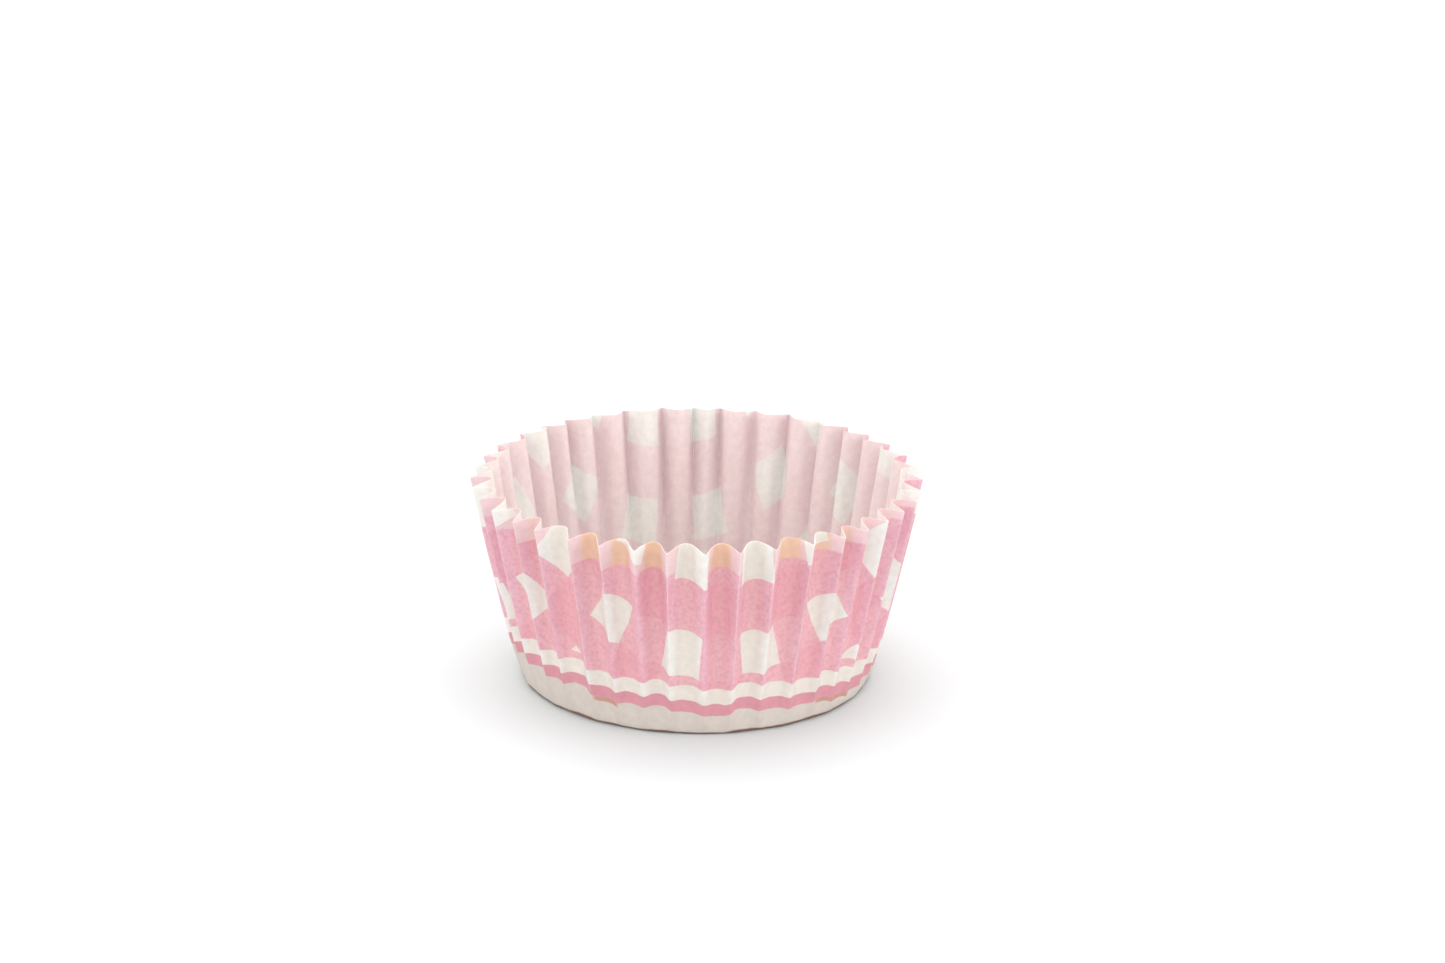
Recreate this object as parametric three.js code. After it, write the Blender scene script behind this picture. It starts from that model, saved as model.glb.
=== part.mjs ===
// A cupcake liner: one disc of greaseproof paper, pressed in a die into a cup with a flat base
// and a pleated wall. The paper is never cut or glued, so the whole liner is one folded sheet.
// Sizes are in millimetres. Z is up, and the origin is the middle of the base's underside.

import * as THREE from "three";

// The sheet and the cup that it is pressed into
const paperThickness = 0.08;
const baseDiameter = 50;
const landDiameter = 59; // across the rim, between the lands that lie inside the folds
const wallLength = 30.1; // up the slope of the wall, from the base edge to the cut rim
const cornerRadius = 1.2; // where the base turns up into the wall

// The pleats: each has a broad land and one narrow fold that stands out from the wall
const pleatCount = 40;
const firstFoldAngle = 2; // degrees from the front, going right
const foldShareAtBase = 0.6; // the part of a pleat's pitch that its fold takes up
const foldShareAtRim = 0.42;
const foldStart = 1.5; // up the wall, where a fold has reached its full depth
const landHollow = 0.35; // how far the middle of a land bows inwards at the rim
const depthVariation = 0.05; // folds are pressed a little deeper or shallower than the next

// How far each fold strays from its even place, in hundredths of a pitch, going right from
// the fold nearest the front and round by the back
const foldStrays = [
  8, 1, 2, 12, 17, 5, 0, -6, -13, -20, -20, -18, -9, 4, 10, -6, -12, 3, 9, 14,
  -4, -10, 6, 12, 2, -8, -13, 5, 8, 3, 4, -7, -7, -8, 4, -4, 15, 12, 13, 1,
];

// How finely the paper is drawn
const rowsUpWall = 5;
const rowCrowding = 1.5; // above 1, the rows lie closer near the base
const cornerSteps = 2;
const pointsAcrossLand = 3;

const baseRadius = baseDiameter / 2;
const lean = (landDiameter - baseDiameter) / 2;
const wallAngle = Math.PI / 2 - Math.asin(lean / wallLength);
const cornerTangent = cornerRadius * Math.tan(wallAngle / 2);
const pitch = (2 * Math.PI) / pleatCount;

// The rows of the sheet from the flat base to the rim. Each has its radius and height on a
// land, and up, its distance along the wall from the sharp base edge.
function sheetRows() {
  const rows = [];
  for (let step = 0; step <= cornerSteps; step += 1) {
    const turn = (wallAngle * step) / cornerSteps;
    rows.push({
      radius: baseRadius - cornerTangent + cornerRadius * Math.sin(turn),
      height: cornerRadius * (1 - Math.cos(turn)),
      up: (cornerTangent * step) / cornerSteps,
    });
  }
  for (let row = 1; row <= rowsUpWall; row += 1) {
    const climb = (row / rowsUpWall) ** rowCrowding;
    const up = cornerTangent + (wallLength - cornerTangent) * climb;
    rows.push({
      radius: baseRadius + up * Math.cos(wallAngle),
      height: up * Math.sin(wallAngle),
      up,
    });
  }
  return rows;
}

// How wide and deep a fold is at a distance up the wall. The flat sheet is longer round there
// than the lands' circle is, and the fold takes up what is left over.
function foldSize(up) {
  const climb = up / wallLength;
  const landRadius = baseRadius + lean * climb;
  const share = foldShareAtBase + (foldShareAtRim - foldShareAtBase) * climb;
  const width = share * pitch * landRadius;
  const spare = pitch * (baseRadius + up) - pitch * landRadius;
  const fullDepth = Math.sqrt((width + spare) ** 2 - width ** 2) / 2;
  return { share, depth: fullDepth * Math.min(1, up / foldStart), hollow: landHollow * climb };
}

// The angle of a fold's ridge, counted from the front and going right
function ridgeAngle(fold) {
  const stray = foldStrays[(fold % pleatCount) % foldStrays.length] / 100;
  return THREE.MathUtils.degToRad(firstFoldAngle) + (fold + stray) * pitch;
}

// A point of the sheet at an angle from the front. Paper that is pushed outwards keeps its
// length up the wall, so it ends lower.
function sheetPoint(row, angle, outward) {
  const push = row.radius - baseRadius + outward;
  const leaned = row.radius - baseRadius;
  const drop = row.up > cornerTangent
    ? row.height - Math.sqrt(row.height ** 2 + leaned ** 2 - push ** 2)
    : 0;
  const radius = row.radius + outward;
  return new THREE.Vector3(
    radius * Math.sin(angle),
    -radius * Math.cos(angle),
    row.height - drop + paperThickness / 2,
  );
}

// One row of the sheet all the way round: for each pleat the ridge of its fold, the fold's
// foot, the land, and the foot of the next fold
function rowPoints(row) {
  const { share, depth, hollow } = foldSize(row.up);
  const points = [];
  for (let fold = 0; fold < pleatCount; fold += 1) {
    const ridge = ridgeAngle(fold);
    const nextRidge = ridgeAngle(fold + 1);
    const landFrom = ridge + (share * pitch) / 2;
    const landTo = nextRidge - (share * pitch) / 2;
    const thisDepth = depth * (1 + depthVariation * Math.sin(fold * fold));
    points.push(sheetPoint(row, ridge, thisDepth));
    points.push(sheetPoint(row, landFrom, 0));
    for (let across = 1; across <= pointsAcrossLand; across += 1) {
      const along = across / (pointsAcrossLand + 1);
      const bow = hollow * (1 - (2 * along - 1) ** 2);
      points.push(sheetPoint(row, landFrom + (landTo - landFrom) * along, -bow));
    }
    points.push(sheetPoint(row, landTo, 0));
  }
  return points;
}

// The direction and distance from the middle of the paper to its outer face at a point, so
// that the paper keeps its thickness on both sides of a crease
function toOuterFace(grid, row, column) {
  const columns = grid[row].length;
  const normals = [];
  for (const lower of [row - 1, row]) {
    if (lower < 0 || lower + 1 >= grid.length) continue;
    for (const left of [column - 1, column]) {
      const a = grid[lower][(left + columns) % columns];
      const b = grid[lower][(left + 1) % columns];
      const c = grid[lower + 1][(left + 1) % columns];
      const d = grid[lower + 1][(left + columns) % columns];
      const across = new THREE.Vector3().subVectors(c, a);
      const back = new THREE.Vector3().subVectors(d, b);
      normals.push(across.cross(back).normalize());
    }
  }
  const mean = normals.reduce((sum, normal) => sum.add(normal), new THREE.Vector3()).normalize();
  const spread = normals.reduce((sum, normal) => sum + normal.dot(mean), 0) / normals.length;
  return mean.multiplyScalar(paperThickness / 2 / spread);
}

// The two faces of the paper as rings of points, from the base outwards. The flat of the base
// keeps its faces level.
function paperFaces(grid) {
  const outer = [];
  const inner = [];
  grid.forEach((points, row) => {
    const steps = points.map((point, column) => (
      row === 0 ? new THREE.Vector3(0, 0, -paperThickness / 2) : toOuterFace(grid, row, column)
    ));
    outer.push(points.map((point, column) => point.clone().add(steps[column])));
    inner.push(points.map((point, column) => point.clone().sub(steps[column])));
  });
  return { outer, inner };
}

// The closed solid between the two faces: base, wall and the cut rim that joins them
function linerGeometry() {
  const grid = sheetRows().map(rowPoints);
  const { outer, inner } = paperFaces(grid);
  const columns = grid[0].length;
  const rimRow = grid.length - 1;
  const vertices = [];
  const faces = [];

  const addRing = (points) => {
    const first = vertices.length;
    vertices.push(...points);
    return points.map((point, column) => first + column);
  };
  // Both faces of the paper are cut along the same diagonals, so they never cross
  const joinRings = (from, to, facesIn) => {
    for (let column = 0; column < columns; column += 1) {
      const next = (column + 1) % columns;
      const right = [from[column], from[next], to[next]];
      const left = [from[column], to[next], to[column]];
      faces.push(...(facesIn ? [right.reverse(), left.reverse()] : [right, left]));
    }
  };
  const closeRing = (ring, height, facesDown) => {
    const middle = vertices.length;
    vertices.push(new THREE.Vector3(0, 0, height));
    for (let column = 0; column < columns; column += 1) {
      const next = (column + 1) % columns;
      faces.push(facesDown ? [middle, ring[next], ring[column]] : [middle, ring[column], ring[next]]);
    }
  };

  const outerRings = outer.map(addRing);
  const innerRings = inner.map(addRing);
  closeRing(outerRings[0], 0, true);
  closeRing(innerRings[0], paperThickness, false);
  for (let row = 0; row < rimRow; row += 1) {
    joinRings(outerRings[row], outerRings[row + 1], false);
    joinRings(innerRings[row], innerRings[row + 1], true);
  }
  joinRings(outerRings[rimRow], innerRings[rimRow], false);

  const geometry = new THREE.BufferGeometry();
  geometry.setFromPoints(vertices);
  geometry.setIndex(faces.flat());
  geometry.computeVertexNormals();
  return geometry;
}

const paper = new THREE.MeshStandardMaterial({ color: 0xe8a5b4, roughness: 0.75, metalness: 0 });
const liner = new THREE.Mesh(linerGeometry(), paper);
liner.name = "liner";

const cupcakeLiner = new THREE.Group();
cupcakeLiner.add(liner);

export default cupcakeLiner;
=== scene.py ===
import math

import bpy
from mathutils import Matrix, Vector, noise


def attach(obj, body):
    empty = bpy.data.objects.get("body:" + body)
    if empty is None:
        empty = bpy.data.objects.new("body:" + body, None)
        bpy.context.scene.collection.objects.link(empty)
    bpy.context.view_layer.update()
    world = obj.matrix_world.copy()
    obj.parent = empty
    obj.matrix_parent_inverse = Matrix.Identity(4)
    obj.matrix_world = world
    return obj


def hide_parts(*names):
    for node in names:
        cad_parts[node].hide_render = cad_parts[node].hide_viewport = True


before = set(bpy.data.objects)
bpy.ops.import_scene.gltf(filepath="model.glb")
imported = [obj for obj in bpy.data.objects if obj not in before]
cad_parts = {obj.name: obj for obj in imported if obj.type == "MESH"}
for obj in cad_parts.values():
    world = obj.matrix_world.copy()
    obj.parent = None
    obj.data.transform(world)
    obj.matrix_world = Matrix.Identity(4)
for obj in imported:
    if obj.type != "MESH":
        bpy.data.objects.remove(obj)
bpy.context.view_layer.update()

MM = 0.001  # lengths below are in millimetres, and become metres with this


# The liner's sheet: a disc of greaseproof paper, cut from the roll with a round knife. It is
# drawn flat first, as a small disc whose edge is extruded outwards ring by ring, so that the
# folds and the print can later be placed by where they lie on the flat sheet.
PLEATS = 40
COLUMNS = 22  # across one pleat's paper
PAPER = 0.08
BASE_RADIUS = 25.0
LAND_RADIUS = 29.5  # of the circle on which the lands lie, at the rim
WALL = 30.1  # up the slope, from the sharp base edge to the cut rim
CORNER_RADIUS = 0.7

LEAN = LAND_RADIUS - BASE_RADIUS
WALL_ANGLE = math.pi / 2 - math.asin(LEAN / WALL)
CORNER_TANGENT = CORNER_RADIUS * math.tan(WALL_ANGLE / 2)
FLAT_RADIUS = BASE_RADIUS - CORNER_TANGENT
CORNER_ARC = CORNER_RADIUS * WALL_ANGLE
SHEET_RADIUS = FLAT_RADIUS + CORNER_ARC + WALL - CORNER_TANGENT

FLOOR_RINGS = [6.0, 12.0, 17.0, 20.5, 22.5, FLAT_RADIUS]
CORNER_STEPS = 4
WALL_STEPS = 34


def sheet_rings():
    """The radii on the flat sheet at which its rings of points lie."""
    corner = [FLAT_RADIUS + CORNER_ARC * step / CORNER_STEPS for step in range(1, CORNER_STEPS + 1)]
    foot = corner[-1]
    wall = [foot + (SHEET_RADIUS - foot) * step / WALL_STEPS for step in range(1, WALL_STEPS + 1)]
    return FLOOR_RINGS + corner + wall


def cut_sheet():
    """The flat disc in millimetres as an object, one ring of edges for each radius."""
    rings = sheet_rings()
    bpy.ops.object.select_all(action="DESELECT")
    bpy.ops.mesh.primitive_circle_add(
        vertices=PLEATS * COLUMNS, radius=rings[0], fill_type="TRIFAN", calc_uvs=False)
    sheet = bpy.context.object
    bpy.ops.object.mode_set(mode="EDIT")
    bpy.ops.mesh.select_mode(type="EDGE")
    bpy.ops.mesh.select_all(action="DESELECT")
    bpy.ops.mesh.select_non_manifold()
    for inner, outer in zip(rings, rings[1:]):
        bpy.ops.mesh.extrude_edges_move()
        bpy.ops.transform.resize(value=(outer / inner, outer / inner, 1))
    bpy.ops.mesh.select_all(action="SELECT")
    bpy.ops.mesh.normals_make_consistent(inside=False)
    bpy.ops.mesh.flip_normals()  # the printed face lies downwards
    bpy.ops.object.mode_set(mode="OBJECT")
    return sheet


# The pressing: a punch drives the sheet into a fluted die. The base stays flat, and round the
# wall the paper that has no room lies in forty narrow folds, which stand out between broad
# lands. The paper doesn't stretch, so every point keeps its distance from the base's middle.
FIRST_FOLD = math.radians(2)  # from the front, going right
PITCH = 2 * math.pi / PLEATS
SAMPLES = 48  # along one pleat's section, for measuring its paper
CREASE_ANGLE = math.radians(55)  # sharper edges than this show as creases

# The size of a fold. A distance up the wall starts at the base's sharp edge.
SHARE_AT_BASE = 0.6  # the part of a pleat's pitch that its fold takes up
SHARE_AT_RIM = 0.42
FOLD_START = 1.5  # up the wall, where a fold has grown out of the corner
FOLD_FULL = 7.0  # up the wall, where the folds' ends have stopped being pressed flatter
FOLD_FLATTENED = 0.62  # their depth at the base, as a part of what the paper would need
FOLD_ROUNDED = 0.95  # the same above that, since a round ridge needs more paper than a sharp one
DEPTH_VARIATION = 0.05
LAND_HOLLOW = 0.35

# The shape of a fold's section
ROUND_CRESTS = {0, 5, 9, 14, 18, 23, 27, 31, 38}
SHARP_CREST = 0.08  # how rounded a fold's ridge is, as a part of its half width
ROUND_CREST = 0.7
FOOT_SOFTNESS = 0.48
RIM_WAVE = 0.5  # how far the pleats have opened into a plain wave at the rim
WAVE_START = 19.0  # up the wall, where they start to

# How far each fold strays from its even place, in hundredths of a pitch
STRAYS = [
    8, 1, 2, 12, 17, 5, 0, -6, -13, -20, -20, -18, -9, 4, 10, -6, -12, 3, 9, 14,
    -4, -10, 6, 12, 2, -8, -13, 5, 8, 3, 4, -7, -7, -8, 4, -4, 15, 12, 13, 1,
]
# How far each ridge leans right of the middle between its feet, in hundredths of a pitch
LEANS = [
    10, -2, -6, -11, -5, 4, 9, -3, -8, 5, 11, 2, -9, -4, 7, 0, -10, 6, 3, -7,
    12, -5, -1, 8, -11, 4, -6, 9, 1, -8, 10, -3, 5, -9, 7, -4, 6, 11, 13, -4,
]

# How far each land has slipped up the die near its foot, in tenths of a millimetre
SLIPS = [
    -5, 4, 2, 0, 5, 0, -3, 1, 4, -2, 3, -5, 0, 5, 2, -4, 0, 3, -1, 4,
    -3, 2, 5, -2, -5, 1, 3, -4, 0, 2, -1, 3, 5, 3, 1, 6, -2, -2, 3, -2,
]
SLIP_FULL = 2.0  # up the wall, where the slip has its full size
SLIP_FADES_FROM, SLIP_GONE = 8.0, 15.0  # up the wall
SLIP_BLEND = 0.22  # the part of a pleat, next to a ridge, over which one slip goes into the next

# How far the base's edge is dented at each ridge, in hundredths of a millimetre: inwards above
# 0 and outwards below it
DENTS = [
    -20, -30, -10, -36, -14, -38, -16, -20, 2, -12, 10, -6, 14, -8, 6, -12, 11, -2, -12, 15,
    -5, 7, -11, 13, -1, -14, 9, -6, 16, -8, 2, 12, -11, 8, -4, 12, -14, 2, -16, -12,
]
DENTS_FROM = 12.5  # on the flat base, where the dents start
DENTS_GONE = 5.0  # up the wall

# The sharp ridges with a pale line: a painted highlight along the crease, partly ink rubbed off it
CREASE_START = 9.0  # up the wall, where a sharp ridge's painted highlight and wear start
LOW_CREASE_START = 3.0
LOW_CREASES = {3, 4, 6, 7, 8, 12, 16, 21, 25, 29, 33, 34, 36}

CRUMPLE = 0.05  # how far the paper is crumpled in or out
CRUMPLE_ROUND = 9.0  # how quickly that changes round the wall
CRUMPLE_UP = 0.12  # and up it, for each millimetre
CRUMPLE_FULL = 8.0  # up the wall, where the crumple has its full size
RIM_DIP = 0.12  # how far the cut edge dips
RIM_DIPS = 13  # dips round the rim
RIM_SWAYS, RIM_SWAY = 5, 2  # how often round the rim, and how strongly, the dips crowd together
RIM_REACH = 3.0  # down from the rim, where the dips have gone


def unit(value):
    """A number held between 0 and 1."""
    return min(max(value, 0), 1)


def ridge_angle(fold):
    """The angle of a fold's ridge from the front, going right."""
    return FIRST_FOLD + (fold + STRAYS[fold % PLEATS] / 100) * PITCH


def sheet_profile(reach):
    """The radius and height of a land, and the distance up the wall, at a reach on the sheet."""
    turned = min(max(reach - FLAT_RADIUS, 0), CORNER_ARC)
    up = CORNER_TANGENT * turned / CORNER_ARC + max(reach - FLAT_RADIUS - CORNER_ARC, 0)
    if reach > FLAT_RADIUS + CORNER_ARC:
        return BASE_RADIUS + up * math.cos(WALL_ANGLE), up * math.sin(WALL_ANGLE), up
    turn = turned / CORNER_RADIUS
    radius = min(reach, FLAT_RADIUS) + CORNER_RADIUS * math.sin(turn)
    return radius, CORNER_RADIUS * (1 - math.cos(turn)), up


def fold_size(up):
    """A fold's share of its pitch, its depth and the land's hollow at a distance up the wall."""
    climb = up / WALL
    land = BASE_RADIUS + LEAN * climb
    share = SHARE_AT_BASE + (SHARE_AT_RIM - SHARE_AT_BASE) * climb
    width = share * PITCH * land
    spare = PITCH * (BASE_RADIUS + up - land)
    depth = math.sqrt((width + spare) ** 2 - width ** 2) / 2
    depth *= FOLD_FLATTENED + (FOLD_ROUNDED - FOLD_FLATTENED) * min(1, up / FOLD_FULL)
    return share, depth * min(1, up / FOLD_START), LAND_HOLLOW * climb


def soft_tent(across, crest):
    """A fold's section without its size: high at 0, and near 0 past -1 and 1."""
    slope = 1 - math.hypot(across, crest)
    return (slope + math.hypot(slope, FOOT_SOFTNESS)) / 2


def fold_height(fold, from_ridge, half, climb):
    """How far a fold stands out at an angle from its ridge, from 1 at the ridge down to 0."""
    crest = ROUND_CREST if fold in ROUND_CRESTS else SHARP_CREST
    lean = LEANS[fold] / 100 * PITCH * climb
    across = from_ridge / (half + lean if from_ridge < 0 else half - lean)
    return soft_tent(across, crest) / soft_tent(0, crest)


def pleat_section(pleat, up):
    """Angles and outward steps along one pleat's paper, from its ridge to the next one."""
    share, depth, hollow = fold_size(up)
    half = share * PITCH / 2
    start, end = ridge_angle(pleat), ridge_angle(pleat + 1)
    climb = up / WALL
    opened = RIM_WAVE * max(0, (up - WAVE_START) / (WALL - WAVE_START))
    section = []
    for sample in range(SAMPLES + 1):
        angle = start + (end - start) * sample / SAMPLES
        outward = 0
        for fold, ridge in ((pleat, start), (pleat + 1, end)):
            fold %= PLEATS
            fold_depth = depth * (1 + DEPTH_VARIATION * math.sin(fold * fold))
            outward += fold_depth * fold_height(fold, angle - ridge, half, climb)
        middle = 2 * sample / SAMPLES - 1
        wave = depth * (0.5 + 0.5 * math.cos(2 * math.pi * sample / SAMPLES))
        outward += opened * (wave - outward) - hollow * (1 - middle ** 2)
        section.append((angle, outward))
    return section


def paper_points(section, radius):
    """Points that share the paper of a section evenly, one for each column of a pleat."""
    places = [((radius + step) * math.sin(angle), -(radius + step) * math.cos(angle))
              for angle, step in section]
    lengths = [0.0]
    for here, there in zip(places, places[1:]):
        lengths.append(lengths[-1] + math.dist(here, there))
    points, piece = [], 0
    for column in range(COLUMNS):
        wanted = lengths[-1] * column / COLUMNS
        while lengths[piece + 1] < wanted:
            piece += 1
        part = (wanted - lengths[piece]) / (lengths[piece + 1] - lengths[piece])
        angle = section[piece][0] + (section[piece + 1][0] - section[piece][0]) * part
        step = section[piece][1] + (section[piece + 1][1] - section[piece][1]) * part
        points.append((angle, step))
    return points


def pressed_ring(reach):
    """The angle and outward step of each column of the sheet at a reach."""
    radius, _, up = sheet_profile(reach)
    ring = []
    for pleat in range(PLEATS):
        ring += paper_points(pleat_section(pleat, up), radius)
    return ring


def paper_slip(pleat, part, up):
    """How far the paper has slipped up the die at a part of the way across a pleat."""
    slip = SLIPS[pleat]
    if part < SLIP_BLEND:
        slip += (SLIPS[pleat - 1] - slip) * (1 - part / SLIP_BLEND) / 2
    if part > 1 - SLIP_BLEND:
        slip += (SLIPS[(pleat + 1) % PLEATS] - slip) * (1 - (1 - part) / SLIP_BLEND) / 2
    fade = (SLIP_GONE - up) / (SLIP_GONE - SLIP_FADES_FROM)
    return slip / 10 * min(1, up / SLIP_FULL) * unit(fade)


def edge_dent(reach, angle):
    """How far the base's edge is dented at an angle, with straight sides between the ridges."""
    pleat, part = divmod((angle - FIRST_FOLD) / PITCH, 1)
    here, there = DENTS[int(pleat) % PLEATS], DENTS[int(pleat + 1) % PLEATS]
    within = unit((reach - DENTS_FROM) / (FLAT_RADIUS - DENTS_FROM))
    above = unit(1 - sheet_profile(reach)[2] / DENTS_GONE)
    return (here + (there - here) * part) / 100 * within * above


def crumple(angle, up):
    """How far the paper is crumpled outwards at a point of the wall."""
    grain = Vector((math.sin(angle) * CRUMPLE_ROUND, math.cos(angle) * CRUMPLE_ROUND, up * CRUMPLE_UP))
    return CRUMPLE * min(1, up / CRUMPLE_FULL) * noise.noise(grain)


def rim_dip(angle, up):
    """How far the cut edge dips at an angle, and the paper close below it."""
    near_rim = max(0, 1 - (WALL - up) / RIM_REACH)
    swayed = angle * RIM_DIPS + RIM_SWAY * math.sin(angle * RIM_SWAYS)
    return RIM_DIP * near_rim * (0.5 + 0.5 * math.sin(swayed))


def pressed_point(reach, angle, outward):
    """Where a point of the sheet ends in the cup. What is pushed outwards sits lower."""
    radius, height, up = sheet_profile(reach)
    if up > CORNER_TANGENT:
        outward += crumple(angle, up)
        up -= rim_dip(angle, up)
        radius = BASE_RADIUS + up * math.cos(WALL_ANGLE)
        push = radius - BASE_RADIUS + outward
        height = math.sqrt(up ** 2 - push ** 2)
    radius += outward - edge_dent(reach, angle)
    return (radius * math.sin(angle), -radius * math.cos(angle), height + PAPER / 2)


def press_vertex(vertex, reaches, rings):
    """A vertex's place on the flat sheet and in the cup, how far it stands out and its painted crease
    highlight.
    """
    reach = math.hypot(vertex.co.x, vertex.co.y)
    if reach < reaches[0] / 2:
        return (0.0, 0.0), (0.0, 0.0, PAPER / 2), 0.0, 0.0
    ring = min(range(len(reaches)), key=lambda index: abs(reaches[index] - reach))
    turn = math.atan2(vertex.co.x, -vertex.co.y) % (2 * math.pi)
    column = round(turn / (2 * math.pi) * PLEATS * COLUMNS) % (PLEATS * COLUMNS)
    angle, outward = rings[ring][column]
    pleat, column_in_pleat = divmod(column, COLUMNS)
    part = column_in_pleat / COLUMNS
    up = sheet_profile(reaches[ring])[2]

    start, end = ridge_angle(pleat), ridge_angle(pleat + 1)
    flat_angle = start + (end - start) * part
    flat_reach = reaches[ring] - paper_slip(pleat, part, up)
    flat_place = (flat_reach * math.sin(flat_angle), -flat_reach * math.cos(flat_angle))
    cup_place = pressed_point(reaches[ring], angle, outward)

    # the sharp ridges get a painted highlight along the crease, partly wear
    sharp = column_in_pleat == 0 and pleat not in ROUND_CRESTS
    crease_start = LOW_CREASE_START if pleat in LOW_CREASES else CREASE_START
    crease_highlight = float(unit(up / crease_start - 1)) if sharp else 0.0
    return flat_place, cup_place, outward, crease_highlight


def press_sheet(sheet):
    """Writes the flat sheet's places into its UV map, then moves its points into the cup."""
    mesh = sheet.data
    reaches = sheet_rings()
    rings = [pressed_ring(reach) for reach in reaches]
    pressed = [press_vertex(vertex, reaches, rings) for vertex in mesh.vertices]
    flat_places, cup_places, standing, crease_highlight = zip(*pressed)

    uv_map = mesh.uv_layers.new(name="flat_sheet")
    for loop in mesh.loops:
        x, y = flat_places[loop.vertex_index]
        uv_map.data[loop.index].uv = (0.5 + x / (2 * SHEET_RADIUS), 0.5 + y / (2 * SHEET_RADIUS))
    for name, values in (("standing", standing), ("crease_highlight", crease_highlight)):
        attribute = mesh.attributes.new(name=name, type="FLOAT", domain="POINT")
        attribute.data.foreach_set("value", values)
    for vertex, place in zip(mesh.vertices, cup_places):
        vertex.co = Vector(place) * MM
    mesh.update()


def thicken(sheet):
    """Gives the paper its thickness. Its inner face and cut edge take the next materials."""
    paper = sheet.modifiers.new("paper_thickness", "SOLIDIFY")
    paper.thickness = PAPER * MM
    paper.offset = 0
    paper.use_even_offset = True
    paper.material_offset = 1
    paper.material_offset_rim = 2
    bpy.ops.object.select_all(action="DESELECT")
    sheet.select_set(True)
    bpy.context.view_layer.objects.active = sheet
    bpy.ops.object.modifier_apply(modifier=paper.name)
    bpy.ops.object.shade_smooth_by_angle(angle=CREASE_ANGLE)


# The print: a gingham check in two pinks on cream, with one narrow ring below it, laid down
# on the flat sheet before it is pressed. The folds then cut the squares into odd facets. A
# margin at the cut edge is left bare. Folds that stand clear are painted paler than the lands,
# as painted light.
EDGE_SOFTNESS = 0.07
EDGE_WOBBLE = 0.7
WOBBLE_SCALE, WOBBLE_DETAIL = 0.22, 3.0

RING_FROM, RING_TO = 28.65, 30.5  # reaches on the flat sheet, here and below
RINGS_CENTRE = (-1.6, 0)  # the print lies a little to the left on the sheet
# Brownish strips just below the ring, in narrow wedges towards three angles
STRIPS_TOWARDS = [math.radians(angle) for angle in (-28, 45, 53)]  # from the front, going right
STRIPS_SPREAD = math.radians(4)
STRIPS_SOFTNESS = 0.001  # in the cosine of the angle
STRIPS_WIDTH = 0.7
TOAST_SHADOW_FROM, TOAST_SHADOW_TO = 23.4, 25.25  # the base's edge, browned by the heat of the oven and darkened by a painted contact shadow under it
TOAST_SHADOW_SOFTNESS = 0.5, 0.12
TOAST_SHADOW_STRENGTH = 0.85

FIELD_FROM = 32.95
SQUARES_FROM = 34.2  # no cream square reaches the field's lower edge
CHECK_TURN = math.radians(7.7)
CHECK_CENTRE = (-2.3, -38.05)  # the middle of a cream square, on the flat sheet
CHECK_BOW = 0.0018  # how strongly the rows of squares curve back at their ends, per millimetre
CHECK_PITCH = 15.0
CREAM_SQUARE = 7.0
SPECK_SCALE, SPECK_DETAIL = 1.7, 3.0
SPECKS_ABOVE, SPECK_SOFTNESS = 0.56, 0.18
THICK_SHARE = 0.5  # how strongly the thickest ink shows in the check

MARGIN_FROM = 54.1
MARGIN_CENTRE = (0.9, 3.0)  # set back and to the right, so the margin is widest in front
MARGIN_SOFTNESS = 0.2
PEACH_WIDTH = math.radians(44)  # how far to each side of the front the margin has its warm tone
PEACH_SOFTNESS = 0.12  # in the cosine of the angle

STANDS_CLEAR = 0.9  # how far paper stands out where it is painted paler, as painted light
CREASE_HIGHLIGHT_AND_WEAR = 0.5
HIGHLIGHT_AND_WEAR_POWER = 3.0  # above 1, the painted highlight and wear keep close to the crease


def ink(red, green, blue):
    """A colour mixed to its screen values from 0 to 255, as linear light."""
    return tuple(((part / 255 + 0.055) / 1.055) ** 2.4 for part in (red, green, blue)) + (1.0,)


# Each colour on a land, and a paler copy on a fold where the paper stands clear: painted light
CREAM = ink(232, 226, 218), ink(237, 236, 232)
PINK = ink(234, 188, 194), ink(234, 191, 203)
DEEP_PINK = ink(233, 179, 187), ink(232, 183, 196)
BARE_MARGIN = ink(234, 206, 204), ink(235, 208, 211)
# The colours that lie on lands only, or are alike on both
PEACH_MARGIN = ink(233, 199, 175)
THICK_INK = ink(221, 150, 162)  # where the ink lies thickest
# darker than the cream higher up: painted shade on the base near the floor
SHADED_BASE_CREAM = ink(217, 209, 201)
RING_PINK = ink(220, 158, 170)
BROWNISH_STRIP = ink(205, 158, 143)
# browned paper at the base's edge, with a painted contact shadow under it
TOASTED_AND_SHADOW = ink(120, 76, 54)

MIX_FACTOR, MIX_FIRST, MIX_SECOND, MIX_RESULT = 0, 6, 7, 2  # a Mix node's sockets for colours


def node(tree, kind, inputs=None, **settings):
    """A shader node with its settings. An input takes another node's socket or a plain value."""
    made = tree.nodes.new(kind)
    for name, value in settings.items():
        setattr(made, name, value)
    for socket, source in (inputs or {}).items():
        if isinstance(source, bpy.types.NodeSocket):
            tree.links.new(source, made.inputs[socket])
        else:
            made.inputs[socket].default_value = source
    return made


def new_group(name, outputs):
    """An empty shader group with its named output sockets."""
    tree = bpy.data.node_groups.new(name, "ShaderNodeTree")
    for output, kind in outputs:
        tree.interface.new_socket(output, in_out="OUTPUT", socket_type=kind)
    return tree


def calculate(tree, operation, first, second=0.0):
    """One step of arithmetic between two sockets or numbers."""
    return node(tree, "ShaderNodeMath", {0: first, 1: second}, operation=operation).outputs[0]


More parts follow.
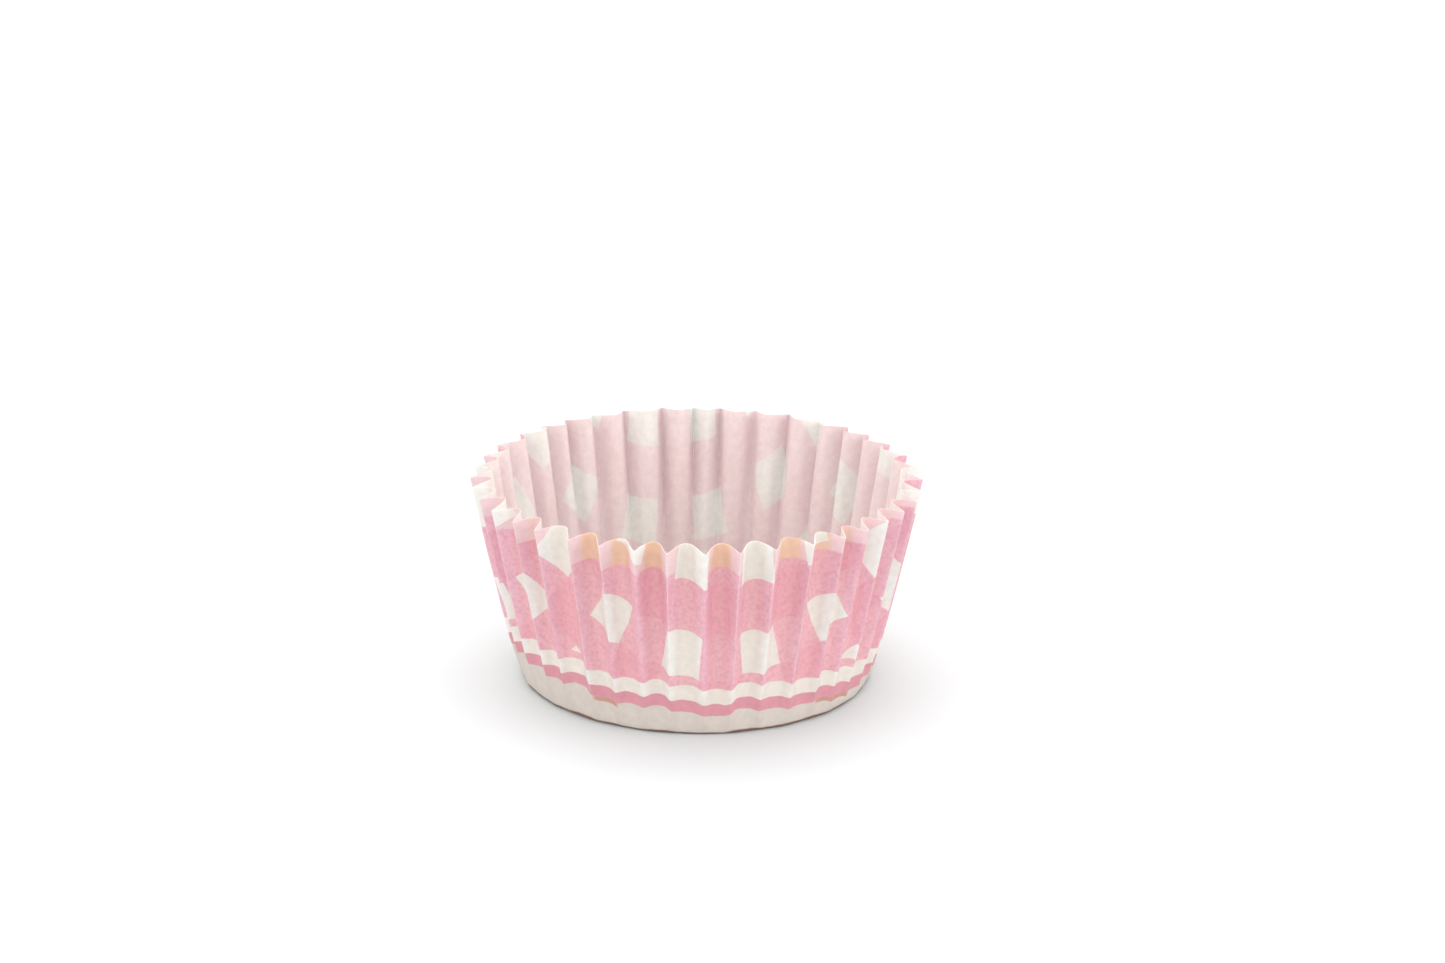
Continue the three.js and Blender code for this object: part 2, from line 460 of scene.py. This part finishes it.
def vector_step(tree, operation, *inputs, output="Vector"):
    """One step of arithmetic between sockets or plain values with three parts."""
    made = node(tree, "ShaderNodeVectorMath", dict(enumerate(inputs)), operation=operation)
    return made.outputs[output]


def step_up(tree, value, edge, softness=EDGE_SOFTNESS):
    """0 below the edge and 1 above it, with a soft step between."""
    inputs = {"Value": value, "From Min": edge - softness, "From Max": edge + softness}
    return node(tree, "ShaderNodeMapRange", inputs, interpolation_type="SMOOTHSTEP").outputs["Result"]


def band(tree, value, edges, softness=(EDGE_SOFTNESS, EDGE_SOFTNESS)):
    """1 between the two edges and 0 outside them, with a soft step at each."""
    risen, fallen = (step_up(tree, value, edge, soft) for edge, soft in zip(edges, softness))
    return calculate(tree, "SUBTRACT", risen, fallen)


def blend_colours(tree, factor, first, second):
    """The first colour where the factor is 0, the second where it is 1."""
    inputs = {MIX_FACTOR: factor, MIX_FIRST: first, MIX_SECOND: second}
    return node(tree, "ShaderNodeMix", inputs, data_type="RGBA").outputs[MIX_RESULT]


def patches(tree, place, scale, detail, **more):
    """Soft uneven patches over the sheet, as a value and as a colour."""
    inputs = {"Vector": place, "Scale": scale, "Detail": detail, **more}
    return node(tree, "ShaderNodeTexNoise", inputs).outputs


def sheet_value(tree, name):
    """A value that the pressing wrote for each point of the sheet."""
    return node(tree, "ShaderNodeAttribute", attribute_name=name).outputs["Fac"]


def flat_sheet_place(tree):
    """The place on the flat sheet in millimetres from its middle."""
    uv_place = node(tree, "ShaderNodeUVMap", uv_map="flat_sheet").outputs["UV"]
    centred = vector_step(tree, "SUBTRACT", uv_place, (0.5, 0.5, 0))
    return vector_step(tree, "MULTIPLY", centred, (2 * SHEET_RADIUS,) * 3)


def wobbled_place(tree, place):
    """The same place moved a little here and there, for ink edges that aren't quite even."""
    wobble = patches(tree, place, WOBBLE_SCALE, WOBBLE_DETAIL)["Color"]
    shift = vector_step(tree, "SUBTRACT", wobble, (0.5, 0.5, 0.5))
    return vector_step(tree, "MULTIPLY_ADD", shift, (EDGE_WOBBLE, EDGE_WOBBLE, 0), place)


def reach_from(tree, place, centre):
    """How far a place on the sheet is from a centre."""
    return vector_step(tree, "DISTANCE", place, (*centre, 0), output="Value")


def near_angles(tree, place, angles, spread, softness):
    """1 within a spread of any of the angles round the sheet, and 0 elsewhere."""
    towards = vector_step(tree, "NORMALIZE", place)
    near = 0.0
    for angle in angles:
        direction = (math.sin(angle), -math.cos(angle), 0)
        likeness = vector_step(tree, "DOT_PRODUCT", towards, direction, output="Value")
        close = step_up(tree, likeness, math.cos(spread), softness)
        near = calculate(tree, "MAXIMUM", near, close)
    return near


def check_gap(tree, along):
    """1 in the gaps of one set of stripes of the check, and 0 on the stripes."""
    turns = calculate(tree, "ADD", calculate(tree, "DIVIDE", along, CHECK_PITCH), 0.5)
    within = calculate(tree, "SUBTRACT", calculate(tree, "FRACT", turns), 0.5)
    from_middle = calculate(tree, "MULTIPLY", calculate(tree, "ABSOLUTE", within), CHECK_PITCH)
    return calculate(tree, "SUBTRACT", 1.0, step_up(tree, from_middle, CREAM_SQUARE / 2))


def check_gaps(tree, printed):
    """The gaps of the check's two sets of stripes, turned and bowed as they lie on the sheet."""
    inputs = {"Vector": printed, "Center": (*CHECK_CENTRE, 0), "Angle": -CHECK_TURN}
    turned = node(tree, "ShaderNodeVectorRotate", inputs, rotation_type="Z_AXIS").outputs[0]
    from_centre = vector_step(tree, "SUBTRACT", turned, (*CHECK_CENTRE, 0))
    sides = node(tree, "ShaderNodeSeparateXYZ", {0: from_centre}).outputs
    bow = calculate(tree, "MULTIPLY", sides["X"], sides["X"])
    up_sheet = calculate(tree, "SUBTRACT", sides["Y"], calculate(tree, "MULTIPLY", bow, CHECK_BOW))
    return check_gap(tree, sides["X"]), check_gap(tree, up_sheet)


def base_and_ring(tree, place, printed, reach, cream):
    """The paper below the check, with the base's browned edge and the painted shadow under it, and the
    ring's ink.
    """
    # below the ring the paper takes the darker cream: painted shade
    colour = blend_colours(tree, step_up(tree, reach, RING_TO), SHADED_BASE_CREAM, cream)
    sheet_reach = reach_from(tree, printed, (0, 0))
    # a brown band at the base's edge: browned paper and a painted contact shadow
    toast_and_shadow = band(tree, sheet_reach, (TOAST_SHADOW_FROM, TOAST_SHADOW_TO), TOAST_SHADOW_SOFTNESS)
    toast_and_shadow = calculate(tree, "MULTIPLY", toast_and_shadow, TOAST_SHADOW_STRENGTH)
    colour = blend_colours(tree, toast_and_shadow, colour, TOASTED_AND_SHADOW)

    # brownish strips just below the ring, towards three angles
    below_ring = band(tree, reach, (RING_FROM - STRIPS_WIDTH, RING_FROM))
    towards = near_angles(tree, place, STRIPS_TOWARDS, STRIPS_SPREAD, STRIPS_SOFTNESS)
    slipped = calculate(tree, "MULTIPLY", below_ring, towards)
    colour = blend_colours(tree, slipped, colour, BROWNISH_STRIP)
    return blend_colours(tree, band(tree, reach, (RING_FROM, RING_TO)), colour, RING_PINK)


def check_ink(tree, place, crossing, clear):
    """The check's two pinks, the deep one where stripes cross, with uneven ink in both."""
    pink = blend_colours(tree, clear, *PINK)
    deep_pink = blend_colours(tree, clear, *DEEP_PINK)
    colour = blend_colours(tree, crossing, pink, deep_pink)
    specks = patches(tree, place, SPECK_SCALE, SPECK_DETAIL)["Fac"]
    thick = step_up(tree, specks, SPECKS_ABOVE, SPECK_SOFTNESS)
    return blend_colours(tree, calculate(tree, "MULTIPLY", thick, THICK_SHARE), colour, THICK_INK)


def margin_paper(tree, place, clear):
    """The bare margin's colour, which is warm on the lands in front."""
    in_front = near_angles(tree, place, [0], PEACH_WIDTH, PEACH_SOFTNESS)
    land = blend_colours(tree, in_front, BARE_MARGIN[0], PEACH_MARGIN)
    return blend_colours(tree, clear, land, BARE_MARGIN[1])


def print_group():
    """The printed colour anywhere on the sheet."""
    tree = new_group("gingham_print", [("Color", "NodeSocketColor")])
    place = flat_sheet_place(tree)
    printed = wobbled_place(tree, place)
    reach = reach_from(tree, printed, RINGS_CENTRE)
    # folds that stand clear take the paler copy of each colour: painted light
    clear = step_up(tree, sheet_value(tree, "standing"), STANDS_CLEAR, STANDS_CLEAR / 2)
    gap_across, gap_up = check_gaps(tree, printed)
    square = calculate(tree, "MULTIPLY", gap_across, gap_up)
    square = calculate(tree, "MULTIPLY", square, step_up(tree, reach, SQUARES_FROM))
    no_square = calculate(tree, "SUBTRACT", 1.0, square)
    crossing = calculate(tree, "SUBTRACT", 1.0, calculate(tree, "MAXIMUM", gap_across, gap_up))

    colour = base_and_ring(tree, place, printed, reach, blend_colours(tree, clear, *CREAM))
    field = calculate(tree, "MULTIPLY", step_up(tree, reach, FIELD_FROM), no_square)
    colour = blend_colours(tree, field, colour, check_ink(tree, place, crossing, clear))
    margin = step_up(tree, reach_from(tree, printed, MARGIN_CENTRE), MARGIN_FROM, MARGIN_SOFTNESS)
    bare = calculate(tree, "MULTIPLY", margin, no_square)
    colour = blend_colours(tree, bare, colour, margin_paper(tree, place, clear))
    # a painted highlight along the sharp ridges, partly ink rubbed off them
    highlight_and_wear = calculate(tree, "POWER", sheet_value(tree, "crease_highlight"), HIGHLIGHT_AND_WEAR_POWER)
    highlight_and_wear = calculate(tree, "MULTIPLY", highlight_and_wear, CREASE_HIGHLIGHT_AND_WEAR)
    node(tree, "NodeGroupOutput", {"Color": blend_colours(tree, highlight_and_wear, colour, CREAM[1])})
    return tree


# The paper itself: thin greaseproof stock, faintly cloudy where its fibres bunch, with a soft
# sheen. Light comes through it, so the inside of the cup shows the print as a blush.
CLOUD_SCALE, CLOUD_DETAIL, CLOUD_ROUGHNESS = 0.9, 5.0, 0.65
THREAD_SCALE, THREAD_DETAIL, THREAD_DISTORTION = 4.5, 3.0, 1.5
CLOUD_WEIGHT = 3.0  # how strongly the clouds show beside the threads
CLOUDINESS = 0.09
THREAD_HEIGHT = 0.02
THREAD_RELIEF = 0.25
SHEEN = 0.35
TRANSLUCENCY = 0.25
# Each face's name, how strongly the print shows on it, and its roughness
FACES = [
    ("printed_face", 1.0, 0.5),
    ("inner_face", 0.26, 0.6),
    ("cut_edge", 0.7, 0.8),
]


def fibre_group():
    """Cloudiness from about -1 to 1, and the height of the fibres for a bump."""
    tree = new_group("paper_fibres", [("Cloud", "NodeSocketFloat"), ("Height", "NodeSocketFloat")])
    place = flat_sheet_place(tree)
    clouds = patches(tree, place, CLOUD_SCALE, CLOUD_DETAIL, Roughness=CLOUD_ROUGHNESS)["Fac"]
    threads = patches(tree, place, THREAD_SCALE, THREAD_DETAIL, Distortion=THREAD_DISTORTION)["Fac"]
    cloud = calculate(tree, "MULTIPLY", calculate(tree, "SUBTRACT", clouds, 0.5), CLOUD_WEIGHT)
    thread = calculate(tree, "SUBTRACT", threads, 0.5)
    both = calculate(tree, "ADD", cloud, thread)
    node(tree, "NodeGroupOutput", {"Cloud": both, "Height": threads})
    return tree


def new_material(name):
    """An empty material and its node tree."""
    material = bpy.data.materials.new(name)
    material.use_nodes = True
    material.node_tree.nodes.clear()
    return material, material.node_tree


def paper_material(name, print_strength, roughness):
    """Greaseproof paper with the print at full strength or showing through from behind."""
    material, tree = new_material(name)
    printed = node(tree, "ShaderNodeGroup", node_tree=PRINT).outputs["Color"]
    fibres = node(tree, "ShaderNodeGroup", node_tree=FIBRES).outputs
    colour = blend_colours(tree, print_strength, CREAM[1], printed)
    cloud = calculate(tree, "MULTIPLY", fibres["Cloud"], CLOUDINESS)
    shaded = vector_step(tree, "MULTIPLY", colour, calculate(tree, "ADD", cloud, 1.0))
    bump = node(tree, "ShaderNodeBump", {
        "Strength": THREAD_RELIEF, "Distance": THREAD_HEIGHT * MM, "Height": fibres["Height"]})

    face = node(tree, "ShaderNodeBsdfPrincipled", {
        "Base Color": shaded, "Roughness": roughness, "Specular IOR Level": SHEEN,
        "Normal": bump.outputs[0]})
    through = node(tree, "ShaderNodeBsdfTranslucent", {"Color": shaded})
    paper = node(tree, "ShaderNodeMixShader", {
        0: TRANSLUCENCY, 1: face.outputs[0], 2: through.outputs[0]})
    node(tree, "ShaderNodeOutputMaterial", {"Surface": paper.outputs[0]})
    return material


PRINT = print_group()
FIBRES = fibre_group()

liner = cut_sheet()
liner.name = "pressed_liner"
press_sheet(liner)
for face_name, strength, face_roughness in FACES:
    liner.data.materials.append(paper_material(face_name, strength, face_roughness))
thicken(liner)
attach(liner, "root")
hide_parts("liner")


# The table: a broad white sweep under and behind the liner. It shows as pure white except
# where the liner shades it.
SWEEP_WIDTH = 6  # metres
FLOOR_WHITE = (0.55, 0.55, 0.55, 1)
FLOOR_SEEN_WHITE = (0.645, 0.67, 0.67, 1)  # so that the floor looks pure white where it is unshaded


def seen_or_felt(tree, seen, felt):
    """One colour for what the eye sees, also in a gloss or through a gap, and one for light."""
    ray = node(tree, "ShaderNodeLightPath").outputs
    sight = calculate(tree, "MAXIMUM", ray["Is Camera Ray"], ray["Is Glossy Ray"])
    sight = calculate(tree, "MAXIMUM", sight, ray["Is Transmission Ray"])
    return blend_colours(tree, sight, felt, seen)


def white_sweep():
    """The floor, whiter in what is seen of it than in the light that it throws on the liner."""
    bpy.ops.mesh.primitive_plane_add(size=SWEEP_WIDTH)
    floor = bpy.context.object
    floor.name = "white_sweep"
    material, tree = new_material("white_sweep")
    white = seen_or_felt(tree, FLOOR_SEEN_WHITE, FLOOR_WHITE)
    matt = node(tree, "ShaderNodeBsdfDiffuse", {"Color": white})
    node(tree, "ShaderNodeOutputMaterial", {"Surface": matt.outputs[0]})
    floor.data.materials.append(material)


white_sweep()


# The light: an even white room and four far, broad lamps. The one overhead stands a little
# behind the liner and throws its soft shadow forwards, those low on each side give the folds
# their shape, and a weak one in front evens the wall out.
ROOM_LIGHT = 0.78
PLAIN_WHITE = (1, 1, 1, 1)
# Each lamp's name, strength, width in degrees, and the way that its light goes
LAMPS = [
    ("overhead", 2.5, 80, (0.08, -0.5, -1)),
    ("low_left", 1.2, 60, (0.92, 0.4, -0.28)),
    ("low_right", 1.6, 60, (-0.94, 0.35, -0.28)),
    ("front", 0.85, 60, (0, 0.95, -0.3)),
]


def white_room():
    """World light from all round, and plain white behind everything."""
    world = bpy.data.worlds.new("white_room")
    bpy.context.scene.world = world
    world.use_nodes = True
    tree = world.node_tree
    tree.nodes.clear()
    felt = (ROOM_LIGHT, ROOM_LIGHT, ROOM_LIGHT, 1)
    glow = node(tree, "ShaderNodeBackground", {"Color": seen_or_felt(tree, PLAIN_WHITE, felt)})
    node(tree, "ShaderNodeOutputWorld", {"Surface": glow.outputs[0]})


def soft_lamp(name, strength, width, towards):
    """A far lamp as wide as an angle, so that it lights the whole floor evenly."""
    lamp = bpy.data.lights.new(name, "SUN")
    lamp.energy = strength
    lamp.angle = math.radians(width)
    holder = bpy.data.objects.new(name, lamp)
    bpy.context.scene.collection.objects.link(holder)
    holder.rotation_euler = Vector(towards).to_track_quat("-Z", "Y").to_euler()


white_room()
for lamp_values in LAMPS:
    soft_lamp(*lamp_values)


# The camera: a long lens in front of the liner, looking down on it, at the photograph's angle.
LENS = 99.65
SENSOR_WIDTH = 36
CAMERA_PLACE = Vector((3.6, -539.3, 214.6)) * MM
LOOKS_DOWN = math.radians(19.03)
CAMERA_ROLL = math.radians(0.67)

camera = bpy.data.objects.new("camera", bpy.data.cameras.new("camera"))
bpy.context.scene.collection.objects.link(camera)
camera.location = CAMERA_PLACE
camera.rotation_mode = "ZYX"
camera.rotation_euler = (math.pi / 2 - LOOKS_DOWN, 0, CAMERA_ROLL)
camera.data.lens = LENS
camera.data.sensor_width = SENSOR_WIDTH
bpy.context.scene.camera = camera
bpy.context.scene.view_settings.view_transform = "Standard"
